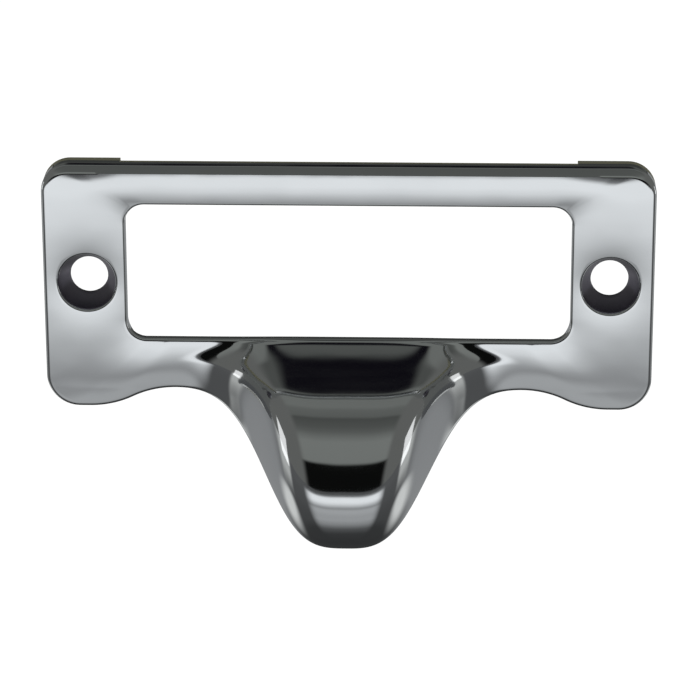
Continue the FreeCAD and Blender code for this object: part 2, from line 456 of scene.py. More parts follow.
    def between(self, inner: Outline, outer: Outline, share: np.ndarray, padded: np.ndarray) -> np.ndarray:
        """Carries the section between two lines, right of the window's edge and left of the outer edge."""
        inner_in, outer_in = self.inward(inner, share, -1.0), self.inward(outer, share, 1.0)
        return self.sections(inner.at(share), inner_in, outer.at(share), outer_in, padded)

    def lower_corner(self, count: int) -> np.ndarray:
        """The sections from the flare's end round the foot, a pair of equal arcs, to the column.

        Args:
            count: Number of sections.

        Returns:
            Points by station and row.
        """
        low, right = self.window_bottom + self.window_corner, self.window_half - self.window_corner
        inner = Outline().straight(self.flare_reach, self.window_bottom, right, self.window_bottom)
        inner.arc(right, low, self.window_corner, -90, 0)
        foot_x = self.hole_pitch / 2
        run, rise = foot_x - self.flare_reach, self.saddle - self.foot
        sweep = (run ** 2 + rise ** 2) / (4 * rise)
        turn = math.degrees(math.asin(run / (2 * sweep)))
        toe = self.half_width - self.toe_radius
        outer = Outline().arc(self.flare_reach, self.saddle - sweep, sweep, 90, 90 - turn)
        outer.arc(foot_x, self.foot + sweep, sweep, 270 - turn, 270)
        outer.straight(foot_x, self.foot, toe, self.foot)
        outer.arc(toe, self.foot + self.toe_radius, self.toe_radius, -90, 0)
        outer.straight(self.half_width, self.foot + self.toe_radius, self.half_width, low)
        return self.between(inner, outer, np.linspace(0, 1, count), np.ones(count, dtype=bool))

    def column(self, heights: np.ndarray) -> np.ndarray:
        """The level sections of the column beside the window.

        Args:
            heights: Z of each section.

        Returns:
            Points by station and row.
        """
        ones = np.ones_like(heights)
        inner = np.stack([ones * self.window_half, heights], axis=-1)
        outer = np.stack([ones * self.half_width, heights], axis=-1)
        outwards = np.stack([ones, ones * 0.0], axis=-1)
        return self.sections(inner, outwards, outer, -outwards, np.ones(len(heights), dtype=bool))

    def upper_corner(self, count: int) -> np.ndarray:
        """The sections round the shoulder, with two where the pad ends, one with it and one without.

        Args:
            count: Number of sections with a pad. There are a quarter as many beyond it.

        Returns:
            Points by station and row.
        """
        high, right = self.window_top - self.window_corner, self.window_half - self.window_corner
        inner = Outline().arc(right, high, self.window_corner, 0, 90)
        shoulder_x, shoulder_z = self.half_width - self.shoulder_radius, self.top - self.shoulder_radius
        outer = Outline().straight(self.half_width, high, self.half_width, shoulder_z)
        outer.arc(shoulder_x, shoulder_z, self.shoulder_radius, 0, 90)
        outer.straight(shoulder_x, self.top, right, self.top)
        pad_end = 1.0 - (self.recess_half - right) / outer.length()
        share = np.concatenate([np.linspace(0, pad_end, count), np.linspace(pad_end, 1, count // 4)])
        return self.between(inner, outer, share, np.arange(len(share)) < count)

    def top_rail(self, count: int) -> np.ndarray:
        """The upright sections of the rail above the window, towards the middle.

        Args:
            count: Number of sections.

        Returns:
            Points by station and row.
        """
        x = np.linspace(self.window_half - self.window_corner, 0, count)
        ones = np.ones_like(x)
        up = np.stack([ones * 0.0, ones], axis=-1)
        inner = np.stack([x, ones * self.window_top], axis=-1)
        outer = np.stack([x, ones * self.top], axis=-1)
        return self.sections(inner, up, outer, -up, np.zeros(count, dtype=bool))


@dataclass
class FingerHood:
    """The hood that the lower rail swells into, with the finger hollow under it."""

    brow_rounding: float = 0.9
    shelf_slope: float = 18.0
    shelf_length: float = 11.4
    upper_radius: float = 12.0
    lower_radius: float = 8.0
    nose_turn: float = 5.0
    lip_curl: float = 62.0
    lip_start_curl: float = 56.0
    lip_width: float = 1.1
    lip_lead: float = 1.3
    shelf_half: float = 13.0
    nose_half: float = 10.5
    shelf_reach: float = 17.0
    shelf_fade: float = 0.45
    nose_squareness: float = 4.5
    rim_half: float = 12.3
    rim_squareness: float = 3.06
    rim_power: int = 3
    hollow_radius: float = 9.4
    hollow_end: float = 0.8
    hollow_half: float = 7.3
    hollow_from_back: float = 8.6
    hollow_below_window: float = 13.6
    hollow_margin: float = 0.02
    shelf_crown: float = 0.26
    crown_length: float = 6.0
    shelf_share: float = 3.0 / 11.0
    turn_share: float = 7.0 / 11.0
    station_pull: float = 0.06

    @staticmethod
    def fade(share: np.ndarray, half: np.ndarray | float, power: float,
             reach: np.ndarray | float) -> np.ndarray:
        """A bell, 1 in the middle and 0 at the end: an end term over itself plus a power of the width."""
        ending = (1.0 - share ** 2) ** 2
        return ending / (ending + (np.abs(share) * reach / half) ** power)

    @staticmethod
    def on_arc(y: float, z: float, radius: float, angle: np.ndarray) -> np.ndarray:
        """Points in Y and Z on an arc about a centre, by the angle up from straight ahead."""
        return np.stack([y - radius * np.cos(angle), z + radius * np.sin(angle)], axis=-1)

    def skin(self, along: np.ndarray, card_frame: CardFrame) -> np.ndarray:
        """The middle line of the skin by share: a shelf, then two arcs that roll it over and under.

        The shelf is straight but for a low crown, which rises from the window's edge and fades over
        the nose.

        Args:
            along: Shares from the window's edge to the lip.
            card_frame: The frame that the shelf starts on.

        Returns:
            Points in Y and Z.
        """
        dip = math.radians(self.shelf_slope)
        start_y = -card_frame.depth + self.brow_rounding
        start_z = card_frame.window_bottom
        top, turn, end = math.pi / 2 - dip, math.radians(self.nose_turn), -math.radians(self.lip_curl)
        upper_y = start_y - self.shelf_length * math.cos(dip) + self.upper_radius * math.cos(top)
        upper_z = start_z - self.shelf_length * math.sin(dip) - self.upper_radius * math.sin(top)
        step = self.upper_radius - self.lower_radius
        lower_y, lower_z = upper_y - step * math.cos(turn), upper_z + step * math.sin(turn)
        slide = self.brow_rounding + (self.shelf_length - self.brow_rounding) * along / self.shelf_share
        shelf = np.stack([start_y - slide * math.cos(dip), start_z - slide * math.sin(dip)], axis=-1)
        over = angle_of_roll(along, self.shelf_share, self.turn_share, top, turn)
        under = angle_of_roll(along, self.turn_share, 1.0, turn, end)
        upper = self.on_arc(upper_y, upper_z, self.upper_radius, over)
        lower = self.on_arc(lower_y, lower_z, self.lower_radius, under)
        rolled = np.where((along < self.turn_share)[:, None], upper, lower)
        line = np.where((along < self.shelf_share)[:, None], shelf, rolled)
        rise = np.clip(slide / self.crown_length, 0.0, 1.0)
        past = np.clip((along - self.shelf_share) / (self.turn_share - self.shelf_share), 0.0, 1.0)
        swell = self.shelf_crown * rise * (2.0 - rise) * (1.0 + np.cos(math.pi * past)) / 2.0
        lean = np.clip(over, turn, top)
        return line + swell[:, None] * np.stack([-np.cos(lean), np.sin(lean)], axis=-1)

    def middle_section(self, card_frame: CardFrame) -> tuple[np.ndarray, np.ndarray, np.ndarray]:
        """The hood's middle section: a rounded brow at the window's edge, the skin, and a rounded lip.

        Args:
            card_frame: The frame whose lower rail the hood is part of.

        Returns:
            Points in Y and Z, the share of the skin at each, and the point where the land behind starts.
        """
        rows = card_frame.rows
        curled = (self.nose_turn + self.lip_start_curl) / (self.nose_turn + self.lip_curl)
        ending = self.turn_share + (1 - self.turn_share) * curled
        skin_along = np.linspace(0, ending, rows.face + 1)
        skin = self.skin(skin_along, card_frame)
        brow_start = np.array([-card_frame.depth + self.brow_rounding, card_frame.window_bottom])
        brow_middle = brow_start - np.array([self.brow_rounding / 2, 0.0])
        brow = parabola(brow_start, brow_middle, skin[0], steps(rows.brow)[:, None])
        lip_end = self.skin(np.array([1.0]), card_frame)[0] + np.array([self.lip_width, 0.0])
        toward = np.array([0.0, card_frame.saddle]) - lip_end
        land_start = lip_end + toward / np.linalg.norm(toward) * self.lip_width
        heading = skin[-1] - skin[-2]
        heading /= np.linalg.norm(heading)
        lip_middle = skin[-1] + heading * self.lip_width * self.lip_lead
        lip = parabola(skin[-1], lip_middle, land_start, steps(rows.edge)[:, None])
        lip_along = np.linspace(ending, 1, rows.edge + 1)[:-1]
        along = np.concatenate([np.zeros(rows.brow), skin_along[:-1], lip_along])
        return np.concatenate([brow, skin[:-1], lip]), along, land_start

    def sections(self, card_frame: CardFrame, count: int) -> np.ndarray:
        """The upright sections from the middle of the hood to the flare's end.

        Each is the frame's flat section moved towards the hood's middle section, by one bell for its reach
        forwards and another for its drop, which meet at the lip. The shelf's bell ends nearer the middle.

        Args:
            card_frame: The frame whose lower rail the hood is part of.
            count: Number of sections.

        Returns:
            Points by station and row, in the frame's own rows.
        """
        starts, length = card_frame.rows.starts(), card_frame.flare_reach
        spread = np.linspace(0, 1, count)
        share = spread + self.station_pull * np.sin(2 * math.pi * spread)
        x = share * length
        ones = np.ones_like(x)
        up = np.stack([ones * 0.0, ones], axis=-1)
        inner = np.stack([x, ones * card_frame.window_bottom], axis=-1)
        outer = np.stack([x, ones * card_frame.saddle], axis=-1)
        grid = card_frame.sections(inner, -up, outer, up, np.ones(count, dtype=bool))
        middle, along, land_start = self.middle_section(card_frame)

        # Bells of reach and drop over the stations and the middle section's rows
        reach_half = self.shelf_half + (self.nose_half - self.shelf_half) * along
        later = np.clip(along / self.shelf_fade, 0.0, 1.0)
        later = later ** 2 * (3.0 - 2.0 * later)
        ends = (self.shelf_reach + (length - self.shelf_reach) * later)[None, :]
        nearer = np.minimum(x[:, None] / ends, 1.0)
        at_nose = self.fade(nearer, reach_half[None, :], self.nose_squareness, ends)
        drop = self.fade(share, self.rim_half, self.rim_squareness, length)[:, None]
        reach = at_nose + (drop - at_nose) * along[None, :] ** self.rim_power

        # The flat section moved by them, with the window's wall drawn along under the brow
        span = slice(starts["brow"], starts["side_near"])
        flat = grid[:, span].copy()
        grid[:, span, 1] = flat[..., 1] + (middle[None, :, 0] - flat[..., 1]) * reach
        grid[:, span, 2] = flat[..., 2] + (middle[None, :, 1] - flat[..., 2]) * drop
        drawn = (middle[0, 0] - flat[:, :1, 1]) * reach[:, :1]
        grid[:, :starts["brow"], 1] += drawn * steps(card_frame.rows.wall)[None, :]

        # Land and hollow
        edge_end = grid[:, starts["side_near"], 1:].copy()
        land = edge_end + (land_start[None, :] - edge_end) * drop
        grid[:, starts["side_near"]:starts["back"], 1:] = self.underside(x, land, card_frame)
        return grid

    def hollow_share(self, x: np.ndarray) -> np.ndarray:
        """The share of the hollow's width and depth that is left at X, which ends as an ellipse does."""
        return np.sqrt(np.maximum(1.0 - (x / self.hollow_half) ** 2, 0.0))

    def underside(self, x: np.ndarray, land: np.ndarray, card_frame: CardFrame) -> np.ndarray:
        """The line from the lip to the rail's back edge, which dips into half an ellipse at the hollow.

        Args:
            x: Places of the sections.
            land: Where the lip's land starts in each section, in Y and Z.
            card_frame: The frame that the hollow is measured from.

        Returns:
            Points in Y and Z by station and row.
        """
        rows = card_frame.rows
        run = np.array([0.0, card_frame.saddle]) - land
        length = np.linalg.norm(run, axis=-1)
        run /= length[:, None]
        into = np.stack([-run[:, 1], run[:, 0]], axis=-1)
        axis = np.array([-self.hollow_from_back, card_frame.window_bottom - self.hollow_below_window])
        foot = ((axis - land) * run).sum(axis=-1)
        height = ((axis - land) * into).sum(axis=-1)
        share = self.hollow_share(x)
        hollowed = share > 0.0
        across = np.sqrt(np.maximum(self.hollow_radius ** 2 - height ** 2, 0.0))
        half = np.maximum(across * share, self.hollow_end)
        depth = (self.hollow_radius + height) * share

        # The hollow's two edges on the line, held past its last station at the same shares of the line
        last = np.argmax(~hollowed) - 1
        near_end = (foot[last] - self.hollow_end) / length[last]
        far_end = (foot[last] + self.hollow_end) / length[last]
        near = np.where(hollowed, (foot - half) / length, near_end)
        far = np.where(hollowed, (foot + half) / length, far_end)
        limits = (self.hollow_margin, 1.0 - self.hollow_margin)
        near, far = np.clip(near, *limits) * length, np.clip(far, *limits) * length

        # Rows up to the hollow, through it and on to the back
        turn = np.linspace(0, math.pi, rows.side_middle + 1)[None, :-1]
        flat = np.linspace(-1, 1, rows.side_middle + 1)[None, :-1]
        bend = np.where(hollowed[:, None], -np.cos(turn), flat)
        distance = np.concatenate([
            near[:, None] * steps(rows.side_near)[None, :],
            (near + far)[:, None] / 2 + (far - near)[:, None] / 2 * bend,
            far[:, None] + (length - far)[:, None] * steps(rows.side_far)[None, :],
        ], axis=1)
        points = land[:, None] + run[:, None] * distance[..., None]
        dip = depth[:, None] * np.sin(turn)
        points[:, rows.side_near:rows.side_near + rows.side_middle] += into[:, None] * dip[..., None]
        return points


@dataclass
class ScrewSeat:
    """One countersunk screw hole, with the patches of face and back that surround it."""

    x: float = CardFrame.hole_pitch / 2
    hole_radius: float = 2.3
    sink_radius: float = 3.65
    rim_rounding: float = 0.17
    bore_length: float = 0.5
    patch_rows: int = 8
    rim_rows: int = 6
    cone_rows: int = 6
    bore_rows: int = 4

    @staticmethod
    def face_height(card_frame: CardFrame, x: np.ndarray) -> np.ndarray:
        """Height of the column's crowned face over the back, by X."""
        width = np.array(card_frame.half_width - card_frame.window_half)
        return card_frame.depth - card_frame.crown((x - card_frame.window_half) / width, width)

    def ring(self, angle: np.ndarray, radius: np.ndarray | float, height: np.ndarray) -> np.ndarray:
        """Points about the hole's axis, by angle, radius and height over the back."""
        angle, radius, height = np.broadcast_arrays(angle, radius, height)
        return np.stack([self.x + radius * np.cos(angle), -height, radius * np.sin(angle)], axis=-1)

    def surfaces(self, card_frame: CardFrame, front: np.ndarray, back: np.ndarray) -> list[Surface]:
        """Fills the gaps left in face and back, and joins them by the hole.

        A patch is a blend from the gap's edge to a circle. The hole is a profile carried round: a round
        rim, a deep cone and a short straight bore.

        Args:
            card_frame: The frame that the hole is in.
            front: Points round the gap in the face.
            back: Points round the gap in the back, in the same order.

        Returns:
            The patches and the hole.
        """
        angle = np.arctan2(front[:, 2], front[:, 0] - self.x)
        cos, sin = np.cos(angle), np.sin(angle)
        slope = (self.sink_radius - self.hole_radius) / (card_frame.depth - self.bore_length)
        sink_height = self.face_height(card_frame, self.x + self.sink_radius * cos)
        rim = self.hole_radius + (sink_height - self.bore_length) * slope
        outer = rim + self.rim_rounding
        share = np.linspace(0, 1, self.patch_rows + 1)[:, None]
        plan_x = front[None, :, 0] * (1 - share) + (self.x + outer * cos)[None, :] * share
        plan_z = front[None, :, 2] * (1 - share) + (outer * sin)[None, :] * share
        patch = np.stack([plan_x, -self.face_height(card_frame, plan_x), plan_z], axis=-1)

        rim_height = (rim - self.hole_radius) / slope + self.bore_length
        rim_in = rim - 2 * self.rim_rounding * slope
        rim_low = rim_height - 2 * self.rim_rounding
        outer_height = self.face_height(card_frame, self.x + outer * cos)
        share = np.linspace(0, 1, self.rim_rows + 1)[:, None]
        radius = parabola(outer, rim, rim_in, share)
        round_rim = self.ring(angle, radius, parabola(outer_height, rim_height, rim_low, share))
        share = np.linspace(0, 1, self.cone_rows + 1)[:, None]
        radius = rim_in * (1 - share) + self.hole_radius * share
        cone = self.ring(angle, radius, rim_low * (1 - share) + self.bore_length * share)
        level = np.linspace(self.bore_length, 0, self.bore_rows + 1)[:, None]
        bore = self.ring(angle, self.hole_radius, level)
        share = np.linspace(0, 1, self.patch_rows + 1)[:, None, None]
        back_patch = bore[-1:] * (1 - share) + back[None] * share
        parts = [
            (patch, Finish.POLISHED),
            (round_rim, Finish.POLISHED),
            # The cone and bore take the plating darkened with painted shade
            (cone, Finish.PAINTED_SHADE_RECESS),
            (bore, Finish.PAINTED_SHADE_RECESS),
            (back_patch, Finish.UNPOLISHED),
        ]
        return [Surface.from_grid(card_frame.bowed(grid), (False, True), np.array(finish.value))
                for grid, finish in parts]


@dataclass
class Casting:
    """The whole casting: frame, hood and screw seats in one closed surface."""

    card_frame: CardFrame = field(default_factory=CardFrame)
    hood: FingerHood = field(default_factory=FingerHood)
    seat: ScrewSeat = field(default_factory=ScrewSeat)
    hood_stations: int = 112
    corner_stations: int = 64
    column_step: float = 0.21
    column_least: int = 3
    shoulder_stations: int = 44
    rail_stations: int = 44
    cast_side_row: int = 13
    sharp_angle: float = 38.0

    def levels(self, first: float, last: float) -> np.ndarray:
        """Heights of the column's stations between two heights, about one step apart."""
        count = max(int(abs(last - first) / self.column_step), self.column_least)
        return np.linspace(first, last, count + 1)

    def half_ring(self) -> tuple[np.ndarray, int, int]:
        """The sections of the right half, from the middle of the hood to the middle of the top rail.

        Returns:
            Points by station and row, and the first and last station of the screw hole's block.
        """
        made = self.card_frame
        block = made.block_half
        below = self.levels(made.window_bottom + made.window_corner, -block)
        beside = self.levels(-block, block)
        above = self.levels(block, made.window_top - made.window_corner)
        parts = [
            self.hood.sections(made, self.hood_stations),
            made.lower_corner(self.corner_stations)[1:],
            made.column(np.concatenate([below[:-1], beside[:-1], above]))[1:],
            made.upper_corner(self.shoulder_stations)[1:],
            made.top_rail(self.rail_stations)[1:],
        ]
        first = len(parts[0]) + len(parts[1]) + len(below) - 2
        return np.concatenate(parts), first, first + len(beside) - 1

    def surface(self) -> Surface:
        """The closed surface: the ring of sections, and the screw seats in the gaps left for them.

        Returns:
            The surface, with the right half's sections mirrored to the left.
        """
        half, first, last = self.half_ring()
        starts = self.card_frame.rows.starts()
        ring = self.card_frame.bowed(np.concatenate([half, half[::-1][1:-1] * OTHER_SIDE]))
        stations, rows = ring.shape[:2]
        station, row = np.arange(stations)[:, None], np.arange(rows)[None, :]

        in_hood = (station < self.hood_stations - 1) | (station >= stations - self.hood_stations + 1)
        reach = np.abs(ring[:, starts["side_middle"], 0])[:, None]
        in_hollow = in_hood & (np.minimum(reach, np.roll(reach, -1)) < self.hood.hollow_half)
        cast_row = within(row, starts["side_near"] + self.cast_side_row, starts["back"])
        is_rough = (row >= starts["back"]) | (cast_row & ~in_hood)
        is_rough = is_rough | (within(row, starts["side_middle"], starts["side_far"]) & in_hollow)
        finishes = np.where(is_rough, Finish.UNPOLISHED.value, Finish.POLISHED.value)

        beside = within(station, first, last) | within(station, stations - last, stations - first)
        across = within(row, starts["face"], starts["edge"]) | within(row, starts["back"], starts["step"])
        whole = Surface.from_grid(ring, (True, True), finishes).without((beside & across).reshape(-1))
        front = self.gap_edge(half, first, last, starts["face"], starts["edge"])
        back = self.gap_edge(half, first, last, starts["step"], starts["back"])
        seats = self.seat.surfaces(self.card_frame, front, back)
        return Surface.joined([whole] + seats + [seat.mirrored() for seat in seats])

    @staticmethod
    def gap_edge(half: np.ndarray, first: int, last: int, near: int, far: int) -> np.ndarray:
        """The points round a gap in the grid, from its lower corner by the window, once round.

        Args:
            half: Points by station and row.
            first: The gap's first station.
            last: Its last station.
            near: Its row next to the window.
            far: Its row next to the outer edge, before or after that one.

        Returns:
            The points in order.
        """
        onward = 1 if far > near else -1
        rows = np.arange(near, far, onward)
        stations = np.arange(first, last)
        return np.concatenate([
            half[first, rows],
            half[stations, far],
            half[last, rows + onward][::-1],
            half[stations + 1, near][::-1],
        ])

    def build(self, materials: list[bpy.types.Material]) -> bpy.types.Object:
        """Makes the casting's object, which stands for the CAD node and rides on the one body.

        Args:
            materials: Materials in the order of the finishes.

        Returns:
            The object.
        """
        piece = self.surface().to_object("plated_casting", materials, self.sharp_angle)
        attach(piece, "root")
        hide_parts("label_frame_pull")
        return piece


class NodeKit:
    """Short ways to add and join the nodes of one tree, which starts out empty.

    A Mix node has several sockets of one name, so those for colours go by number.
    """

    first_colour = 6
    second_colour = 7
    mixed_colour = 2

    def __init__(self, tree: bpy.types.NodeTree) -> None:
        """Takes a tree and clears it."""
        self.tree = tree
        tree.nodes.clear()

    def add(self, kind: str, operation: str = "") -> bpy.types.Node:
        """Adds a node.

        Args:
            kind: The node's type.
            operation: Its operation, where it has one.

        Returns:
            The node.
        """
        node = self.tree.nodes.new(kind)
        if operation:
            node.operation = operation
        return node

    def join(self, source: Socket | float, goal: Socket) -> None:
        """Links an output to an input, or sets the input to a number.

        Args:
            source: The output or the number.
            goal: The input.
        """
        if isinstance(source, float):
            goal.default_value = source
        else:
            self.tree.links.new(source, goal)

    def sum(self, operation: str, *terms: Socket | float) -> Socket:
        """Works out one value from outputs and numbers.

        Args:
            operation: Name of the sum.
            terms: The outputs and numbers, in the sum's order.

        Returns:
            The result's output.
        """
        node = self.add("ShaderNodeMath", operation)
        for term, goal in zip(terms, node.inputs):
            self.join(term, goal)
        return node.outputs["Value"]

    def length(self, x: Socket, y: Socket) -> Socket:
        """The length of a level line by its X and Y.

        Args:
            x: The line's X.
            y: The line's Y.

        Returns:
            The length's output.
        """
        level = self.add("ShaderNodeCombineXYZ")
        self.join(x, level.inputs["X"])
        self.join(y, level.inputs["Y"])
        apart = self.add("ShaderNodeVectorMath", "LENGTH")
        self.join(level.outputs["Vector"], apart.inputs[0])
        return apart.outputs["Value"]

    def noise(self, place: Socket, scale: Socket | float, detail: float) -> Socket:
        """Adds noise.

        Args:
            place: The coordinates.
            scale: Its scale.
            detail: Number of finer layers.

        Returns:
            The noise's output, from 0 to 1.
        """
        node = self.add("ShaderNodeTexNoise")
        self.join(place, node.inputs["Vector"])
        self.join(scale, node.inputs["Scale"])
        self.join(detail, node.inputs["Detail"])
        return node.outputs["Fac"]

    def smooth(self, value: Socket, low: float, high: float) -> Socket:
        """Turns a value into a soft step from 0 at one limit to 1 at the other.

        Args:
            value: The value.
            low: Where the step is 0.
            high: Where it is 1.

        Returns:
            The step's output.
        """
        node = self.add("ShaderNodeMapRange")
        node.interpolation_type = "SMOOTHSTEP"
        self.join(value, node.inputs["Value"])
        self.join(low, node.inputs["From Min"])
        self.join(high, node.inputs["From Max"])
        return node.outputs["Result"]

    def ramp(self, value: Socket, stops: Stops, tint: Colour = (1.0, 1.0, 1.0)) -> Socket:
        """Grades a value into greys.

        Args:
            value: The value.
            stops: Places and the grey of each, from 0 to the ramp's end.
            tint: Colour that the greys are multiplied by.

        Returns:
            The colour's output.
        """
        whole = stops[-1][0]
        node = self.add("ShaderNodeValToRGB")
        elements = node.color_ramp.elements
        for place, _ in stops[1:-1]:
            elements.new(place / whole)
        for element, (place, level) in zip(elements, stops):
            element.position = place / whole
            element.color = (level * tint[0], level * tint[1], level * tint[2], 1.0)
        self.join(self.sum("DIVIDE", value, whole), node.inputs["Fac"])
        return node.outputs["Color"]

    def plain(self, colour: Colour) -> Socket:
        """Adds one plain colour.

        Args:
            colour: The colour.

        Returns:
            The colour's output.
        """
        node = self.add("ShaderNodeRGB")
        node.outputs["Color"].default_value = (*colour, 1.0)
        return node.outputs["Color"]

    def blend(self, first: Socket, second: Socket, share: Socket) -> Socket:
        """Mixes two colours by a share of the second.

        Args:
            first: The first colour.
            second: The second colour.
            share: The share.

        Returns:
            The mixed colour's output.
        """
        node = self.add("ShaderNodeMix")
        node.data_type = "RGBA"
        self.join(share, node.inputs["Factor"])
        self.join(first, node.inputs[self.first_colour])
        self.join(second, node.inputs[self.second_colour])
        return node.outputs[self.mixed_colour]

    def either(self, first: Socket, second: Socket, share: Socket) -> Socket:
        """Mixes two shaders by a share of the second.

        Args:
            first: The first shader.
            second: The second shader.
            share: The share.

        Returns:
            The mixed shader's output.
        """
        node = self.add("ShaderNodeMixShader")
        for source, goal in zip((share, first, second), node.inputs):
            self.join(source, goal)
        return node.outputs["Shader"]


@dataclass(frozen=True)
class PlatingWear:
    """What varies over the plating: fine grain drawn out along X, broad clouds and a slow wave."""

    grain_detail: float = 4.0
    cloud_scale: float = 90.0
    cloud_detail: float = 3.0
    wave_scale: float = 170.0
    wave_detail: float = 1.0
    numbers: tuple[str, ...] = ("Scale", "Stretch", "Roughness", "Spread", "Grain")
    colours: tuple[str, ...] = ("Bright", "Shade")

    def group(self) -> bpy.types.NodeTree:
        """Builds the group: clouds mix the colours, grain and clouds the gloss, grain and wave the relief.

        Returns:
            The node group, with colour, roughness and height as outputs.
        """
        made = bpy.data.node_groups.new("plating_wear", "ShaderNodeTree")
        for name in self.numbers:
            made.interface.new_socket(name, in_out="INPUT", socket_type="NodeSocketFloat")
        for name in self.colours:
            made.interface.new_socket(name, in_out="INPUT", socket_type="NodeSocketColor")
        made.interface.new_socket("Colour", in_out="OUTPUT", socket_type="NodeSocketColor")
        for name in ("Roughness", "Height"):
            made.interface.new_socket(name, in_out="OUTPUT", socket_type="NodeSocketFloat")
        draw = NodeKit(made)
        given = draw.add("NodeGroupInput").outputs
        result = draw.add("NodeGroupOutput").inputs
        place = draw.add("ShaderNodeTexCoord").outputs["Object"]
        across = draw.add("ShaderNodeCombineXYZ")
        draw.join(given["Stretch"], across.inputs["X"])
        draw.join(1.0, across.inputs["Y"])
        draw.join(1.0, across.inputs["Z"])
        drawn = draw.add("ShaderNodeVectorMath", "MULTIPLY")
        draw.join(place, drawn.inputs[0])
        draw.join(across.outputs["Vector"], drawn.inputs[1])
        grain = draw.noise(drawn.outputs["Vector"], given["Scale"], self.grain_detail)
        cloud = draw.noise(place, self.cloud_scale, self.cloud_detail)
        wave = draw.noise(place, self.wave_scale, self.wave_detail)
        draw.join(draw.blend(given["Bright"], given["Shade"], cloud), result["Colour"])
        both = draw.sum("MULTIPLY", grain, cloud)
        draw.join(draw.sum("MULTIPLY_ADD", both, given["Spread"], given["Roughness"]), result["Roughness"])
        draw.join(draw.sum("MULTIPLY_ADD", grain, given["Grain"], wave), result["Height"])
        return made


@dataclass(frozen=True)
class PlatedFinish:
    """Bright plating over a casting, polished or left as cast, or darkened with painted shade inside the
    screw holes.
    """

    name: str
    colour: Colour
    shade: Colour
    roughness: float
    roughness_spread: float
    grain_scale: float
    grain_stretch: float
    grain_depth: float
    relief: float
    metallic: float = 1.0

    def material(self, wear: bpy.types.NodeTree) -> bpy.types.Material:
        """Makes the material: metal whose colour, gloss and relief vary by the wear group.

        Args:
            wear: The shared node group of wear.

        Returns:
            The material.
        """
        made = bpy.data.materials.new(self.name)
        made.use_nodes = True
        draw = NodeKit(made.node_tree)
        group = draw.add("ShaderNodeGroup")
        group.node_tree = wear
        group.inputs["Bright"].default_value = (*self.colour, 1.0)
        group.inputs["Shade"].default_value = (*self.shade, 1.0)
        draw.join(self.grain_scale, group.inputs["Scale"])
        draw.join(self.grain_stretch, group.inputs["Stretch"])
        draw.join(self.grain_depth, group.inputs["Grain"])
        draw.join(self.roughness, group.inputs["Roughness"])
        draw.join(self.roughness_spread, group.inputs["Spread"])
        bump = draw.add("ShaderNodeBump")
        draw.join(1.0, bump.inputs["Strength"])
        draw.join(self.relief * MILLIMETRE, bump.inputs["Distance"])
        draw.join(group.outputs["Height"], bump.inputs["Height"])
        metal = draw.add("ShaderNodeBsdfPrincipled")
        draw.join(self.metallic, metal.inputs["Metallic"])
        draw.join(group.outputs["Colour"], metal.inputs["Base Color"])
        draw.join(group.outputs["Roughness"], metal.inputs["Roughness"])
        draw.join(bump.outputs["Normal"], metal.inputs["Normal"])
        output = draw.add("ShaderNodeOutputMaterial")
        draw.join(metal.outputs["BSDF"], output.inputs["Surface"])
        return made


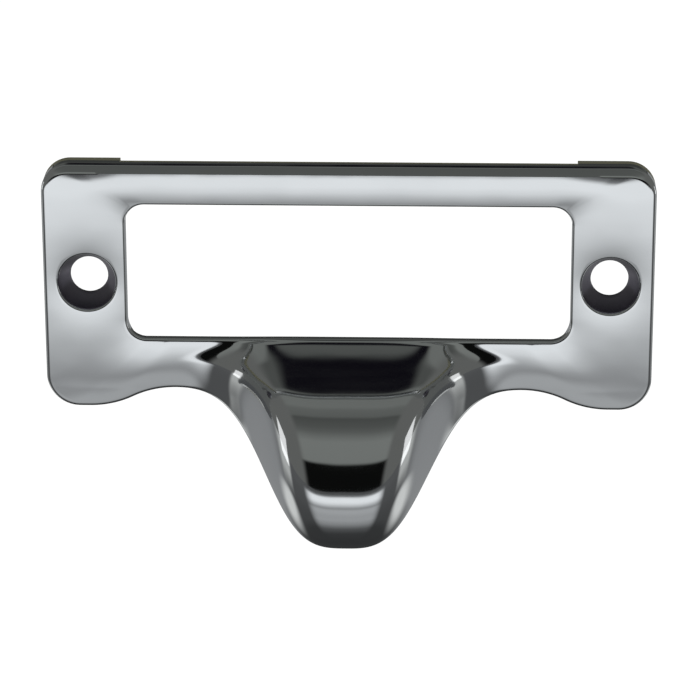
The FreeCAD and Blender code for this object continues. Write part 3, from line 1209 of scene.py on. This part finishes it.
@dataclass
class Studio:
    """Floor, lamps, surroundings and camera, in metres and degrees."""

    # Camera
    azimuth: float = 1.74
    elevation: float = 19.99
    roll: float = -0.111
    distance: float = 0.422636
    lens: float = 178.22
    sensor_width: float = 36.0
    clip_range: tuple[float, float] = (0.01, 50.0)
    target: tuple[float, float, float] = (0.000215, -0.0037, -0.008411)

    # Floor, where a stop is a distance with its grey of painted light and shade as the metal sees it, and
    # edges are the limits of a soft step
    floor_level: float = -0.15
    floor_size: float = 12.0
    floor_white: float = 0.97
    floor_matt: Colour = (0.8, 0.8, 0.8)
    cool: Colour = (0.975, 1.0, 1.02)
    ahead_edges: tuple[float, float] = (-0.72, -0.94)
    behind_edges: tuple[float, float] = (0.1, 0.6)
    # Greys of painted light and shade: dark near the casting as painted shade, with a painted pool of light
    # ahead
    painted_floor_ahead: Stops = (
        (0.0, 0.035), (0.05, 0.045), (0.08, 0.1), (0.11, 0.27), (0.14, 0.37), (0.18, 0.37), (0.23, 0.42),
        (0.27, 0.42), (0.31, 0.3), (0.34, 0.36), (0.38, 0.5), (0.48, 0.8), (0.6, 0.93), (0.94, 0.93),
        (1.29, 0.2), (2.0, 0.08))
    painted_floor_beside: Stops = (
        (0.0, 0.037), (0.08, 0.042), (0.12, 0.065), (0.3, 0.085), (1.0, 0.1), (2.0, 0.1))
    painted_floor_behind: Stops = (
        (0.0, 0.035), (0.1, 0.04), (0.14, 0.07), (0.17, 0.16), (0.21, 0.27), (0.26, 0.27), (2.0, 0.26))
    # Two painted pools of light beside the casting
    side_pool: tuple[float, float] = (0.18, 0.085)
    side_pool_edges: tuple[float, float] = (0.10, 0.03)
    side_pool_stretch: float = 0.8
    side_light_pool_colour: Colour = (0.68, 0.69, 0.68)
    # Two painted lanes of light out to the sides
    lane_lean: float = 0.1
    lane_edges: tuple[float, float] = (0.30, 0.14)
    lane_start: tuple[float, float] = (0.2, 0.6)
    lit_lane_colour: Colour = (0.47, 0.48, 0.47)

    # Room, where a stop is a turn with its grey, from straight ahead over the top to straight behind
    olive: Colour = (0.97, 1.02, 0.97)
    room_turn: Stops = (
        (0.0, 0.004), (27.5, 0.004), (30.5, 0.2), (54.0, 0.205), (60.0, 0.165), (66.0, 0.115),
        (72.0, 0.092), (83.0, 0.075), (86.5, 0.12), (96.0, 0.135), (101.0, 0.168), (118.0, 0.165),
        (121.0, 0.075), (131.0, 0.095), (145.0, 0.09), (152.0, 0.045), (170.0, 0.045), (180.0, 0.1))
    room_side_edges: tuple[float, float] = (0.4, 0.62)
    room_side_colour: Colour = (0.13, 0.133, 0.128)
    dark_strip: Stops = (
        (0.0, 0.0), (120.5, 0.0), (122.0, 1.0), (126.0, 1.0), (128.3, 0.0), (180.0, 0.0))
    dark_strip_edges: tuple[float, float] = (0.32, 0.14)
    dark_strip_colour: Colour = (0.004, 0.0035, 0.006)

    # Side panels
    panel_place: tuple[float, float, float] = (1.0, 0.05, 0.03)
    panel_size: tuple[float, float] = (0.3, 0.36)
    panel_power: float = 0.254

    def camera(self) -> bpy.types.Object:
        """Places the camera at the photograph's angle: back from its target, with its own roll.

        Returns:
            The camera.
        """
        side, up = math.radians(self.azimuth), math.radians(self.elevation)
        back = Vector((math.sin(side) * math.cos(up), -math.cos(side) * math.cos(up), math.sin(up)))
        data = bpy.data.cameras.new("photo_camera")
        data.sensor_width = self.sensor_width
        data.lens = self.lens
        data.clip_start, data.clip_end = self.clip_range
        view = bpy.data.objects.new("photo_camera", data)
        turned = back.to_track_quat("Z", "Y").to_matrix().to_4x4()
        rolled = Matrix.Rotation(math.radians(self.roll), 4, "Z")
        view.matrix_world = Matrix.Translation(Vector(self.target) + back * self.distance) @ turned @ rolled
        bpy.context.scene.collection.objects.link(view)
        bpy.context.scene.camera = view
        return view

    def floor(self) -> bpy.types.Object:
        """Lays a plain floor, one flat square, far enough below that the casting throws a soft shadow.

        Returns:
            The floor.
        """
        half = self.floor_size / 2
        corners = np.array([[-half, -half], [half, -half], [half, half], [-half, half]])
        points = np.column_stack([corners, np.full(len(corners), self.floor_level)])
        mesh = bpy.data.meshes.new("studio_floor")
        mesh.from_pydata(points.tolist(), [], [list(range(len(corners)))])
        mesh.materials.append(self.floor_material())
        made = bpy.data.objects.new("studio_floor", mesh)
        bpy.context.scene.collection.objects.link(made)
        return made

    def painted_floor_light(self, draw: NodeKit) -> Socket:
        """What the metal sees of the floor, all painted light and shade: greys by distance on each side,
        darkest near the casting, two lit lanes and two pools of light.

        Returns:
            The colour's output.
        """
        split = draw.add("ShaderNodeSeparateXYZ")
        draw.join(draw.add("ShaderNodeTexCoord").outputs["Object"], split.inputs["Vector"])
        x, y = split.outputs["X"], split.outputs["Y"]
        away = draw.length(x, y)
        forward = draw.sum("DIVIDE", y, away)
        # Greys by distance, darkest near the casting as painted shade
        beside, front, back = (draw.ramp(away, stops, self.cool)
                               for stops in (self.painted_floor_beside, self.painted_floor_ahead, self.painted_floor_behind))
        shown = draw.blend(beside, front, draw.smooth(forward, *self.ahead_edges))
        shown = draw.blend(shown, back, draw.smooth(forward, *self.behind_edges))
        # Two painted lanes of light
        lean = draw.sum("ABSOLUTE", draw.sum("SUBTRACT", forward, self.lane_lean))
        started = draw.smooth(away, *self.lane_start)
        lane = draw.sum("MULTIPLY", draw.smooth(lean, *self.lane_edges), started)
        shown = draw.blend(shown, draw.plain(self.lit_lane_colour), lane)
        # Two painted pools of light beside the casting
        across = draw.sum("SUBTRACT", draw.sum("ABSOLUTE", x), self.side_pool[0])
        along = draw.sum("SUBTRACT", y, self.side_pool[1])
        apart = draw.length(draw.sum("MULTIPLY", across, self.side_pool_stretch), along)
        pool = draw.smooth(apart, *self.side_pool_edges)
        return draw.blend(shown, draw.plain(self.side_light_pool_colour), pool)

    def floor_material(self) -> bpy.types.Material:
        """Makes the floor white to the camera, a glow of painted light and shade to the metal, matt to
        other light, clear from below.

        Returns:
            The material.
        """
        made = bpy.data.materials.new("studio_floor")
        made.use_nodes = True
        draw = NodeKit(made.node_tree)
        seen = draw.add("ShaderNodeLightPath")
        # The metal sees the floor as a glow of painted light and shade
        glow = draw.add("ShaderNodeEmission")
        draw.join(self.painted_floor_light(draw), glow.inputs["Color"])
        white = draw.add("ShaderNodeEmission")
        draw.join(self.floor_white, white.inputs["Strength"])
        matt = draw.add("ShaderNodeBsdfDiffuse")
        matt.inputs["Color"].default_value = (*self.floor_matt, 1.0)
        lit = draw.add("ShaderNodeAddShader")
        draw.join(white.outputs["Emission"], lit.inputs[0])
        draw.join(matt.outputs["BSDF"], lit.inputs[1])
        mirrored = draw.sum("MAXIMUM", seen.outputs["Is Glossy Ray"], seen.outputs["Is Transmission Ray"])
        unseen = draw.either(matt.outputs["BSDF"], glow.outputs["Emission"], mirrored)
        above = draw.either(unseen, lit.outputs["Shader"], seen.outputs["Is Camera Ray"])
        below = draw.add("ShaderNodeBsdfTransparent").outputs["BSDF"]
        sided = draw.either(above, below, draw.add("ShaderNodeNewGeometry").outputs["Backfacing"])
        draw.join(sided, draw.add("ShaderNodeOutputMaterial").inputs["Surface"])
        return made

    def surroundings(self) -> None:
        """Sets the room, white to the camera: greys by the turn from ahead over the top, one strip dark."""
        world = bpy.data.worlds.new("studio_room")
        world.use_nodes = True
        bpy.context.scene.world = world
        draw = NodeKit(world.node_tree)
        split = draw.add("ShaderNodeSeparateXYZ")
        draw.join(draw.add("ShaderNodeTexCoord").outputs["Generated"], split.inputs["Vector"])
        ahead = draw.sum("MULTIPLY", split.outputs["Y"], -1.0)
        angle = draw.sum("ARCTAN2", split.outputs["Z"], ahead)
        turn = draw.sum("MULTIPLY", angle, math.degrees(1.0))
        aside = draw.sum("ABSOLUTE", split.outputs["X"])
        middle = draw.ramp(turn, self.room_turn, self.olive)
        beside = draw.smooth(aside, *self.room_side_edges)
        shown = draw.blend(middle, draw.plain(self.room_side_colour), beside)
        near = draw.smooth(aside, *self.dark_strip_edges)
        dark = draw.sum("MULTIPLY", draw.ramp(turn, self.dark_strip), near)
        room = draw.add("ShaderNodeBackground")
        draw.join(draw.blend(shown, draw.plain(self.dark_strip_colour), dark), room.inputs["Color"])
        white = draw.add("ShaderNodeBackground")
        white.inputs["Color"].default_value = (1.0, 1.0, 1.0, 1.0)
        camera_ray = draw.add("ShaderNodeLightPath").outputs["Is Camera Ray"]
        both = draw.either(room.outputs["Background"], white.outputs["Background"], camera_ray)
        draw.join(both, draw.add("ShaderNodeOutputWorld").inputs["Surface"])

    def panel(self, name: str, side: float) -> None:
        """Hangs one soft lamp beside the casting, facing it.

        Args:
            name: Name of the lamp.
            side: -1 for the left, 1 for the right.
        """
        data = bpy.data.lights.new(name, "AREA")
        data.shape = "RECTANGLE"
        data.size, data.size_y = self.panel_size
        data.energy = self.panel_power
        lamp = bpy.data.objects.new(name, data)
        across, along, up = self.panel_place
        place = Vector((side * across, along, up))
        turned = place.to_track_quat("Z", "Y").to_matrix().to_4x4()
        lamp.matrix_world = Matrix.Translation(place) @ turned
        bpy.context.scene.collection.objects.link(lamp)

    def build(self) -> None:
        """Sets up the whole studio."""
        bpy.context.scene.view_settings.view_transform = "Standard"
        self.camera()
        self.floor()
        self.surroundings()
        self.panel("left_panel", -1.0)
        self.panel("right_panel", 1.0)
        LOG.info("studio: floor, two side panels, room and camera")


POLISHED = PlatedFinish(
    name="polished_plating", colour=(0.80, 0.815, 0.825), shade=(0.74, 0.755, 0.765), roughness=0.05,
    roughness_spread=0.10, grain_scale=900.0, grain_stretch=0.12, grain_depth=0.02, relief=0.03)
UNPOLISHED = PlatedFinish(
    name="unpolished_plating", colour=(0.84, 0.81, 0.6), shade=(0.7, 0.67, 0.48), roughness=0.5,
    roughness_spread=0.2, grain_scale=1500.0, grain_stretch=1.0, grain_depth=0.6, relief=0.02, metallic=0.4)
# Dark plating whose colour is painted shade, for the cone and bore of the screw holes
PAINTED_SHADE_RECESS = PlatedFinish(
    name="recess_painted_shade_plating", colour=(0.3, 0.28, 0.33), shade=(0.2, 0.19, 0.23), roughness=0.3,
    roughness_spread=0.15, grain_scale=1500.0, grain_stretch=1.0, grain_depth=0.3, relief=0.02)


def main() -> None:
    """Builds the casting and the studio."""
    logging.basicConfig(level=logging.INFO, format="%(message)s")
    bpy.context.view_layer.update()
    wear = PlatingWear().group()
    Casting().build([finish.material(wear) for finish in (POLISHED, UNPOLISHED, PAINTED_SHADE_RECESS)])
    Studio().build()
    bpy.context.view_layer.update()


if __name__ == "__main__":
    main()
